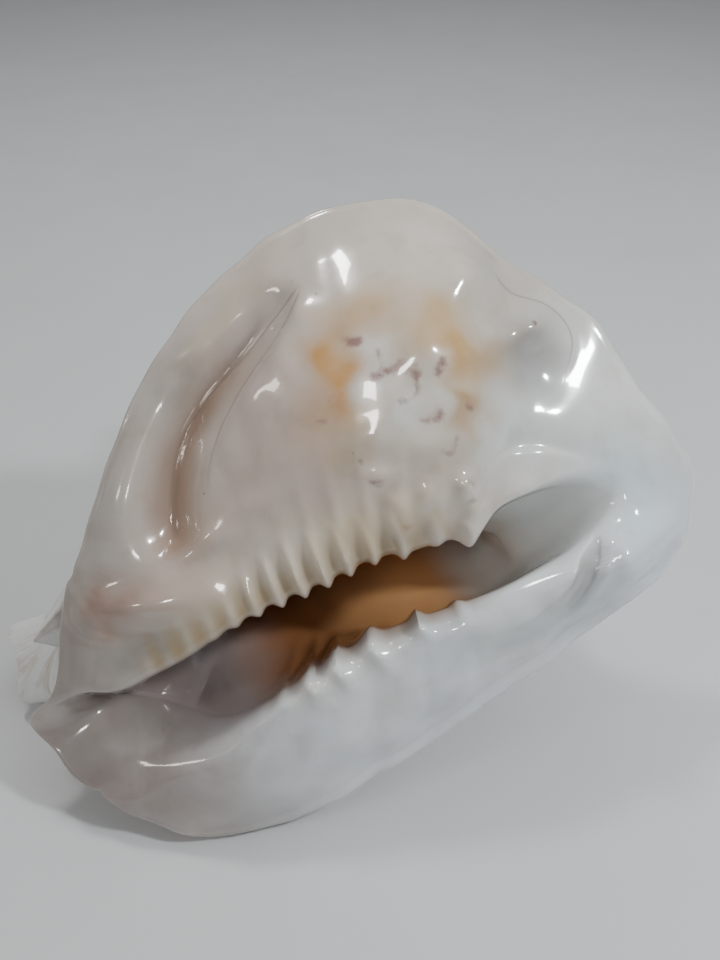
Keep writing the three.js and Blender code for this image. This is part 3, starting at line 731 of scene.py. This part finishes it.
# Patches over both shield and lip: painted light on the slope at the mouth's back end and painted shade on
# the front tip.
END_PATCHES = [
    # First painted light on the back-end slope, then painted shade on the front tip, with a painted shadow
    # under the shield's front edge at (-97, -18).
    (70, -44, 17, 15, -20, (0.97, 1.00, 1.00), 0.85), (-114, -42, 14, 9, 0, (0.19, 0.17, 0.16), 0.75),
    (-131, -8, 18, 18, 0, (0.24, 0.205, 0.195), 0.70), (-97, -18, 14, 7, -8, (0.16, 0.16, 0.165), 0.75),
    (-101, 1, 9, 8, -20, (0.22, 0.14, 0.11), 0.65), (-146, -44, 14, 16, 0, (0.22, 0.20, 0.19), 0.50),
    # Painted shade along the shallow lower stretch of the lip's groove.
    (36, -77, 26, 9, -8, (0.36, 0.43, 0.46), 0.75),
    (86, -52, 16, 22, 0, (0.64, 0.79, 0.85), 0.55),
]
BASE_SHIELD = (0.62, 0.56, 0.49)
LIP_WHITE = (0.72, 0.76, 0.79)
# The lip's own pink at the front tip, darkened by painted shade.
LIP_PINK_AND_SHADE = (0.32, 0.27, 0.25)  # at the front tip

# Inside the mouth, from front to back: amber lies over the throat's colour in the middle.
# Amber with painted shade at its front and painted light at its back.
AMBER_FRONT_AND_PAINTED_SHADE = (0.27, 0.12, 0.05)
AMBER_BACK_AND_PAINTED_LIGHT = (0.84, 0.46, 0.20)
THROAT_FRONT = (0.33, 0.28, 0.27)
# The throat's near-white back end is painted light where the mouth's shadow falls.
THROAT_BACK_AND_PAINTED_LIGHT = (0.94, 1.00, 1.00)

# Violet-brown pen-like marks, each a line with a half-width.
VIOLET_MARKS = [
    ([(25.5, 35), (24, 32), (24, 29)], 0.2), ([(20, 28.5), (24, 27.5), (29, 26.5), (33, 24.5)], 1.0),
    ([(33, 23), (31.5, 18.5), (29, 16), (24, 16.5)], 0.3), ([(34, 9.5), (32.5, 5), (27.5, 7.5)], 0.5),
    ([(35, -3), (32, -7), (29, -5)], 0.0), ([(43, 22), (39.5, 19)], 0.4), ([(18, 42.5), (20.5, 41.5)], 1.5),
    ([(-3, 24), (-1, 22.5)], 0.1), ([(3, -3), (6.5, -4)], 0.3), ([(33, -18), (34, -19.5)], 0.6),
    ([(29, -24), (31, -25)], 0.5), ([(6, -21), (7, -22)], 0.1), ([(44, 5), (45, 3)], 0.1),
]
# Small brown dots: place and radius.
DOTS = [
    (82, 20, 1.0), (12, 72, 0.7), (14, 66, 0.3), (17, 63.5, 0.4), (17, 15, 0.5), (3, 5, 0.9), (0, 11, 0.2),
    (2, 9, 0.2), (3, 28, 0.2), (105, -25, 0.9), (110, -32, 0.7), (-51, 22, 0.5), (-54, -72, 0.3),
]


POLISHED = 0.99
FAR = 9.0  # a distance, in millimetres, at which a mark no longer shows


def paint(mesh):
    """Colour and masks at each point, from where the point is on the face.

    tint blends soft oval patches, one after another, over a cream shield and a cool white lip; some of the
    patches are painted shade and painted light.
    violet, dots, groove and the lines are signed distances, so that the finish can draw
    sharp-edged marks from them; the groove's and the two creases' marks are painted shade.
    """
    points = read_points(mesh)
    depth, glaze, lip = (read_mark(mesh, mark) for mark in ("depth", "glaze", "lip"))
    a, l, v = points.T
    trough = between(a, -128, -120, -96, -88) * between(l, -48, -42, -10, -4) * smooth(v, -41, -36)
    glaze, lip = np.maximum(glaze, trough), np.maximum(lip, trough * (glaze < POLISHED))
    add_mark(mesh, "polish", glaze)
    shift = 2.2 * np.column_stack([waver(points, 15, 21), waver(points, 15, 22)])
    paint_tint(mesh, points[:, :2] + shift, lip)
    paint_inside(mesh, points[:, :2] + shift, depth)
    outside = (glaze > POLISHED) & (depth < 0.3)
    paint_stains(mesh, points[:, :2], outside, outside & (lip < 0.5))
    paint_lines(mesh, points[:, :2], outside & (lip < 0.5))
    paint_valleys(mesh, points[:, :2], outside & (lip < 0.5), outside & (lip > 0.5))
    paint_groove(mesh, points[:, :2], outside)

    _, height, angle = coil_place(points)
    turning = np.column_stack([np.cos(angle), np.sin(angle), height / 100]).astype(np.float32)
    mesh.attributes.new("turning", "FLOAT_VECTOR", "POINT").data.foreach_set("vector", turning.ravel())


def lay_patches(tint, al, patches):
    """Blends each patch's colour in by its strength times 1.25 mounds, up to 1."""
    for *feature, colour, strength in patches:
        share = strength * np.minimum(1.25 * mound(al, feature), 1)[:, None]
        tint += share * (np.array(colour) - tint)


def blend(first, second, share):
    return np.array(first) * (1 - share) + np.array(second) * share


def paint_tint(mesh, al, lip):
    tint = np.tile(np.array(BASE_SHIELD), (len(al), 1))
    lay_patches(tint, al, PATCHES)
    # Towards the front tip the lip turns pink and darker, the darkening being painted shade.
    lip_tint = blend(LIP_WHITE, LIP_PINK_AND_SHADE, smooth(-al[:, 0], 45, 125)[:, None])
    tint += np.clip(lip, 0, 1)[:, None] * (lip_tint - tint)
    lay_patches(tint, al, END_PATCHES)
    add_colour(mesh, "tint", tint)


def paint_inside(mesh, al, depth):
    """throat is how far the inside's colour replaces the face's, and inner is that colour, with painted shade
    and painted light in the amber and painted light at the back end.
    """
    add_mark(mesh, "throat", smooth(depth, 0.05, 0.4) * (0.8 + 0.2 * smooth(depth, 0.3, 0.6)))
    inner = blend(THROAT_FRONT, THROAT_BACK_AND_PAINTED_LIGHT, smooth(al[:, 0], -14, 34)[:, None])
    amber = smooth(depth, 0.12, 0.5) * between(al[:, 0], -86, -52, 2, 32)
    amber_and_painted_light = blend(AMBER_FRONT_AND_PAINTED_SHADE, AMBER_BACK_AND_PAINTED_LIGHT, smooth(al[:, 0], -55, 5)[:, None])
    add_colour(mesh, "inner", inner + amber[:, None] * (amber_and_painted_light - inner))


def paint_stains(mesh, al, outside, on_face):
    violet = np.full(len(al), FAR)
    for line, width in VIOLET_MARKS:
        gap, _ = along_line(al, line, 8)
        violet = np.minimum(violet, np.abs(gap) - width)
    add_mark(mesh, "violet", np.where(on_face, violet, FAR))
    dots = np.min([np.hypot(al[:, 0] - a, al[:, 1] - l) - r for a, l, r in DOTS], axis=0)
    add_mark(mesh, "dots", np.where(outside, dots, FAR))


def paint_lines(mesh, al, on_face):
    """The hairline and creases as signed distances, each with a mark that fades its ends, and the
    brown and painted shade of the furrow."""
    for mark, line in LINES.items():
        gap, along = along_line(al, line)
        add_mark(mesh, mark, gap)
        ends = between(along, 0, 0.06, 0.7, 1)
        add_mark(mesh, mark + "_fade", np.where(on_face & (np.abs(gap) < 12), ends, 0))
    gap, along = along_line(al, FURROW)
    add_mark(mesh, "furrow", np.where(on_face, bump(gap, 0, 7) * between(along, 0.08, 0.4, 0.9, 1), 0))


def paint_valleys(mesh, al, on_face, on_lip):
    """The darker valleys between the ribs and between the folds, 1 less the sum of their bumps: a brownish
    colour with painted shade.
    """
    past_border = al[:, 1] - np.interp(al[:, 0], *MOUTH_LINE)
    ribs = sum(bump(al[:, 0] - RIB_LEAN * past_border, a, 1.2 * w) for a, _, w, _ in RIBS)
    near = (1 - smooth(past_border, 2, 19)) * between(al[:, 0], -106, -92, 16, 30)
    add_mark(mesh, "valleys", np.where(on_face, near * (1 - 0.75 * np.clip(ribs, 0, 1)), 0))
    past_border = LIP_LINE - al[:, 1]
    folds = sum(bump(al[:, 0] - FOLD_LEAN * past_border, a, w) for a, _, w, _ in LIP_FOLDS)
    near = (1 - smooth(past_border, -2, 15)) * between(al[:, 0], -75, -60, 8, 20)
    add_mark(mesh, "lip_valleys", np.where(on_lip, near * (1 - 0.8 * np.clip(folds, 0, 1)), 0))


def paint_groove(mesh, al, outside):
    """groove is the distance inside the groove's pointed outline, and groove_fade its lower end; the finish
    paints shade in the groove from them.
    """
    gap, along = along_line(al, LIP_GROOVE)
    half = groove_width(along)
    inside = np.minimum(0.6 * half - gap, 0.8 * (gap + 1.05 * half)) * smooth(along, 0, 0.06)
    add_mark(mesh, "groove", np.where(outside, inside, -FAR))
    add_mark(mesh, "groove_fade", np.where(outside, between(along, 0.01, 0.08, 0.42, 0.68), 0))


def place_in_world(mesh):
    """Turns the shell to its resting pose, in metres, and fits it closely inside its box."""
    points = read_points(mesh)
    ct, st, cr, sr = np.cos(FACE_TILT), np.sin(FACE_TILT), np.cos(AXIS_TURN), np.sin(AXIS_TURN)
    turn = np.array([[1, 0, 0], [0, ct, -st], [0, st, ct]]) @ np.array([[cr, -sr, 0], [sr, cr, 0], [0, 0, 1]])
    world = points @ turn.T / 1000
    low, high = (np.array(corner) for corner in CAD_BOX)
    span = world.max(0) - world.min(0)
    scale = min(1.0, *((high - low - 0.0002) / span))
    world = world * scale
    middle = (world.max(0) + world.min(0)) / 2
    shift = (low + high) / 2 - middle
    shift[2] = low[2] - world[:, 2].min()
    world += shift
    mesh.vertices.foreach_set("co", world.astype(np.float32).ravel())
    mesh.update()
    return turn, shift


# ---- Finishes ----

class Wiring:
    """Short calls for laying out a material's or a group's nodes."""

    def __init__(self, tree):
        self.tree = tree

    def node(self, kind, values=None, **settings):
        new = self.tree.nodes.new(kind)
        for name, value in settings.items():
            setattr(new, name, value)
        for socket, value in (values or {}).items():
            if isinstance(value, bpy.types.NodeSocket):
                self.tree.links.new(value, new.inputs[socket])
            else:
                new.inputs[socket].default_value = value
        return new

    def mark(self, name, output="Fac"):
        return self.node("ShaderNodeAttribute", attribute_name=name).outputs[output]

    def math(self, operation, *values):
        return self.node("ShaderNodeMath", dict(enumerate(values)), operation=operation).outputs[0]

    def times(self, first, second):
        return self.math("MULTIPLY", first, second)

    def ramp(self, value, low, high, to_low=0.0, to_high=1.0):
        values = {"Value": value, "From Min": low, "From Max": high, "To Min": to_low, "To Max": to_high}
        return self.node("ShaderNodeMapRange", values, interpolation_type="SMOOTHSTEP").outputs[0]

    def noise(self, where, scale, detail=3.0, roughness=0.5, distortion=0.0):
        values = {
            "Vector": where, "Scale": scale, "Detail": detail, "Roughness": roughness,
            "Distortion": distortion,
        }
        return self.node("ShaderNodeTexNoise", values).outputs[0]

    def mix(self, share, first, second, blend="MIX"):
        new = self.node("ShaderNodeMix", data_type="RGBA", blend_type=blend)
        for socket, value in ((0, share), (6, first), (7, second)):
            if isinstance(value, bpy.types.NodeSocket):
                self.tree.links.new(value, new.inputs[socket])
            else:
                new.inputs[socket].default_value = value if socket == 0 else (*value, 1.0)
        return new.outputs[2]


def shell_finish():
    """One grown finish: porcelain on the face, amber inside the mouth and chalk on the back."""
    material = bpy.data.materials.new("shell_porcelain")
    material.use_nodes = True
    w = Wiring(material.node_tree)
    shader = material.node_tree.nodes["Principled BSDF"]
    where = w.node("ShaderNodeTexCoord").outputs["Object"]
    glaze = w.mark("polish")
    turning = w.mark("turning", "Vector")

    # Porcelain: the painted tint, clouded, with stained marks, and painted shade in the furrow, the rib
    # valleys, the lip's groove and the creases.
    clouds = w.noise(where, 22, 4, 0.55, 0.6)
    fine_clouds = w.noise(where, 75, 4, 0.6)
    face = w.mark("tint", "Color")
    face = w.mix(w.ramp(clouds, 0.4, 0.75, 0, 0.26), face, (0.86, 0.82, 0.76))
    face = w.mix(w.ramp(fine_clouds, 0.45, 0.8, 0, 0.22), face, (0.50, 0.40, 0.32), "MULTIPLY")
    # Brown with painted shade along the furrow's valley.
    furrow_brown_and_shade = w.times(w.mark("furrow"), w.ramp(clouds, 0.2, 0.7, 0.55, 0.95))
    face = w.mix(furrow_brown_and_shade, face, (0.30, 0.19, 0.13))
    # Between the ribs and the lip's folds: their own brownish colour with painted shade in the valleys.
    face = w.mix(w.times(w.mark("valleys"), 0.85), face, (0.34, 0.24, 0.12))
    face = w.mix(w.times(w.mark("lip_valleys"), 0.35), face, (0.56, 0.50, 0.38))
    # Painted shade on the wall of the lip's groove.
    groove_shade = w.times(w.ramp(w.mark("groove"), -0.1, 0.7, 0, 0.85), w.mark("groove_fade"))
    face = w.mix(groove_shade, face, (0.36, 0.36, 0.35))
    ragged = w.math("MULTIPLY_ADD", w.noise(where, 200, 4, 0.55), 7.0, -3.5)
    violet_edge = w.math("ADD", w.mark("violet"), ragged)
    violet = w.ramp(violet_edge, 1.7, -1.5, 0, 0.8)
    face = w.mix(violet, face, (0.27, 0.13, 0.13))
    dots = w.ramp(w.math("ADD", w.mark("dots"), w.times(ragged, 0.3)), 0.5, -0.5, 0, 0.75)
    face = w.mix(dots, face, (0.20, 0.13, 0.09))
    # Darker along the hairline, and painted shade along the two creases.
    for mark, thin, dark in (("hairline", 0.55, 0.6), ("upper_crease", 0.9, 0.5), ("lower_crease", 0.8, 0.4)):
        near = w.ramp(w.math("ABSOLUTE", w.mark(mark)), thin, 0.0, 0, dark)
        face = w.mix(w.times(near, w.mark(mark + "_fade")), face, (0.24, 0.18, 0.15))

    # Inside the mouth: grey-brown in front, amber half-way and bluish white at the back end, with painted
    # shade and painted light in the amber and painted light at the back end.
    inside = w.mix(w.ramp(clouds, 0.3, 0.7, 0, 0.2), w.mark("inner", "Color"), (0.72, 0.66, 0.62), "MULTIPLY")
    face = w.mix(w.mark("throat"), face, inside)

    # Chalk on the back, with growth lines and faint tan blotches.
    drawn_out = w.node("ShaderNodeVectorMath", {0: turning, 1: (1.0, 1.0, 0.12)}, operation="MULTIPLY")
    growth = w.noise(drawn_out.outputs[0], 26, 5, 0.6)
    blotches = w.noise(turning, 3.2, 4, 0.6, 0.8)
    chalk = w.mix(w.ramp(blotches, 0.48, 0.72), (0.80, 0.81, 0.80), (0.58, 0.48, 0.38))
    chalk = w.mix(w.ramp(growth, 0.35, 0.7, 0, 0.5), chalk, (0.90, 0.92, 0.91))
    pits = w.ramp(w.noise(where, 420, 3, 0.7), 0.62, 0.75, 0, 0.5)
    chalk = w.mix(pits, chalk, (0.36, 0.31, 0.26))
    worn_glaze = w.math("ADD", glaze, w.math("MULTIPLY_ADD", fine_clouds, 0.5, -0.25))
    colour = w.mix(w.ramp(worn_glaze, 0.25, 0.75), chalk, face)

    links = material.node_tree.links
    links.new(colour, shader.inputs["Base Color"])
    polish = w.ramp(glaze, 0.2, 0.8)
    smear = w.ramp(clouds, 0.35, 0.75, 0.12, 0.22)
    rough = w.node("ShaderNodeMix", {0: polish, 2: 0.72, 3: smear}, data_type="FLOAT").outputs[0]
    links.new(rough, shader.inputs["Roughness"])
    links.new(w.ramp(glaze, 0.3, 0.9), shader.inputs["Coat Weight"])
    shader.inputs["Coat Roughness"].default_value = 0.03
    shader.inputs["IOR"].default_value = 1.5
    shader.inputs["Subsurface Weight"].default_value = 0.15
    shader.inputs["Subsurface Radius"].default_value = (1.0, 0.6, 0.4)
    shader.inputs["Subsurface Scale"].default_value = 0.006

    # Relief too fine for the mesh: growth lines and pits on the back, a faint unevenness on the face.
    chalky = w.math("SUBTRACT", 1.0, polish)
    lines = w.times(growth, chalky)
    grain = w.times(w.noise(where, 700, 4, 0.7), w.math("MULTIPLY_ADD", chalky, 0.35, 0.004))
    soft = w.times(w.noise(where, 60, 2, 0.4), 0.12)
    height = w.math("ADD", w.math("ADD", lines, grain), soft)
    for mark, thin, deep in (("hairline", 0.8, 0.2), ("upper_crease", 1.2, 0.3), ("lower_crease", 1.1, 0.25)):
        near = w.ramp(w.math("ABSOLUTE", w.mark(mark)), thin, 0.0, 0, deep)
        height = w.math("SUBTRACT", height, w.times(near, w.mark(mark + "_fade")))
    ditch = w.times(w.ramp(w.mark("groove"), -0.5, 0.6, 0, 0.5), w.mark("groove_fade"))
    height = w.math("SUBTRACT", height, ditch)
    relief = w.node("ShaderNodeBump", {"Height": height, "Strength": 0.6, "Distance": 0.001})
    links.new(relief.outputs[0], shader.inputs["Normal"])
    return material


def floor_finish():
    material = bpy.data.materials.new("pale_floor")
    material.use_nodes = True
    w = Wiring(material.node_tree)
    shader = material.node_tree.nodes["Principled BSDF"]
    where = w.node("ShaderNodeTexCoord").outputs["Object"]
    tone = w.mix(w.noise(where, 9, 4), (0.60, 0.61, 0.62), (0.66, 0.67, 0.68))
    rough = w.ramp(w.noise(where, 30, 3), 0.3, 0.7, 0.5, 0.6)
    material.node_tree.links.new(tone, shader.inputs["Base Color"])
    material.node_tree.links.new(rough, shader.inputs["Roughness"])
    return material


# ---- The piece ----

SHARP_EDGE = np.radians(55)

rows, first, last, marks = shell_grid()
shell = closed_mesh("horned_shell", rows, first, last, marks)
chalk_marks = {"depth": 0.0, "glaze": 0.0, "lip": 0.0}
spout = oval_tube("spout", SPOUT_PATH, SPOUT_RADII, SPOUT_FLATNESS, SPOUT_LOBE, 72, 30, chalk_marks)
join_or_cut(shell, spout, "UNION")
canal_marks = {"depth": 0.3, "glaze": 0.7, "lip": 1.0}
canal = oval_tube("canal", CANAL_PATH, CANAL_RADII, CANAL_FLATNESS, 0, 56, 50, canal_marks)
join_or_cut(shell, canal, "DIFFERENCE")
paint(shell.data)
turn, shift = place_in_world(shell.data)
shell.data.polygons.foreach_set("use_smooth", np.ones(len(shell.data.polygons), bool))
shell.data.set_sharp_from_angle(angle=SHARP_EDGE)
shell.data.materials.clear()
shell.data.materials.append(shell_finish())
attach(shell, "root")
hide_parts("shell")

# ---- Floor, light and camera ----

UPWARDS = np.array([0.0, 0.0, 1.0])
FLOOR_SIZE = 8
FLOOR_DROP = 0.0002  # keeps the floor just clear of the shell
VIEW_DISTANCE = 0.288  # of the camera from the middle of the face, square to it

bpy.ops.mesh.primitive_grid_add(x_subdivisions=2, y_subdivisions=2, size=FLOOR_SIZE)
floor = bpy.context.object
floor.name = "floor"
floor.location.z = -FLOOR_DROP
floor.data.materials.append(floor_finish())

world = bpy.data.worlds.new("studio")
world.use_nodes = True
world.node_tree.nodes["Background"].inputs["Color"].default_value = (0.88, 0.90, 0.93, 1)
world.node_tree.nodes["Background"].inputs["Strength"].default_value = 0.22
bpy.context.scene.world = world


def softbox(name, place, aim, width, height, power, colour):
    """A rectangular light at a place, turned towards a point, in metres and watts."""
    lamp = bpy.data.lights.new(name, "AREA")
    lamp.shape = "RECTANGLE"
    lamp.size, lamp.size_y = width, height
    lamp.energy, lamp.color = power, colour
    holder = bpy.data.objects.new(name, lamp)
    bpy.context.scene.collection.objects.link(holder)
    aim_at(holder, place, aim)
    return holder


def aim_at(thing, place, aim):
    """Puts a light or the camera at a place, turned towards a point, with its top side up."""
    back = unit(place - aim)
    right = unit(np.cross(UPWARDS, back))
    up = np.cross(back, right)
    matrix = np.eye(4)
    matrix[:3, 0], matrix[:3, 1], matrix[:3, 2], matrix[:3, 3] = right, up, back, place
    thing.matrix_world = Matrix(matrix.tolist())


face_centre = shift.copy()
softbox("window_right", face_centre + (0.62, -0.12, 0.62), face_centre, 0.07, 0.09, 4.5, (0.94, 0.98, 1.0))
softbox("window_front", face_centre + (-0.20, -1.35, 1.55), face_centre, 0.20, 0.30, 6.5, (1.0, 0.97, 0.93))
softbox("window_left", face_centre + (-1.1, -0.5, 0.8), face_centre, 0.15, 0.25, 1.5, (1.0, 0.90, 0.80))
spire_side = face_centre + (0.08, 0, 0)
softbox("window_back", face_centre + (-0.30, 0.55, 1.20), spire_side, 0.14, 0.20, 5, (1.0, 0.99, 0.97))
ceiling = softbox("ceiling", face_centre + (0.5, 0.4, 1.5), face_centre, 1.4, 1.1, 8, (0.97, 0.99, 1.0))
ceiling.visible_glossy = False

camera = bpy.data.cameras.new("camera")
camera.sensor_fit, camera.sensor_height, camera.lens = "VERTICAL", 36, 30
camera.clip_start = 0.01
viewer = bpy.data.objects.new("camera", camera)
bpy.context.scene.collection.objects.link(viewer)
aim_at(viewer, face_centre + VIEW_DISTANCE * turn[:, 2], face_centre)
bpy.context.scene.camera = viewer
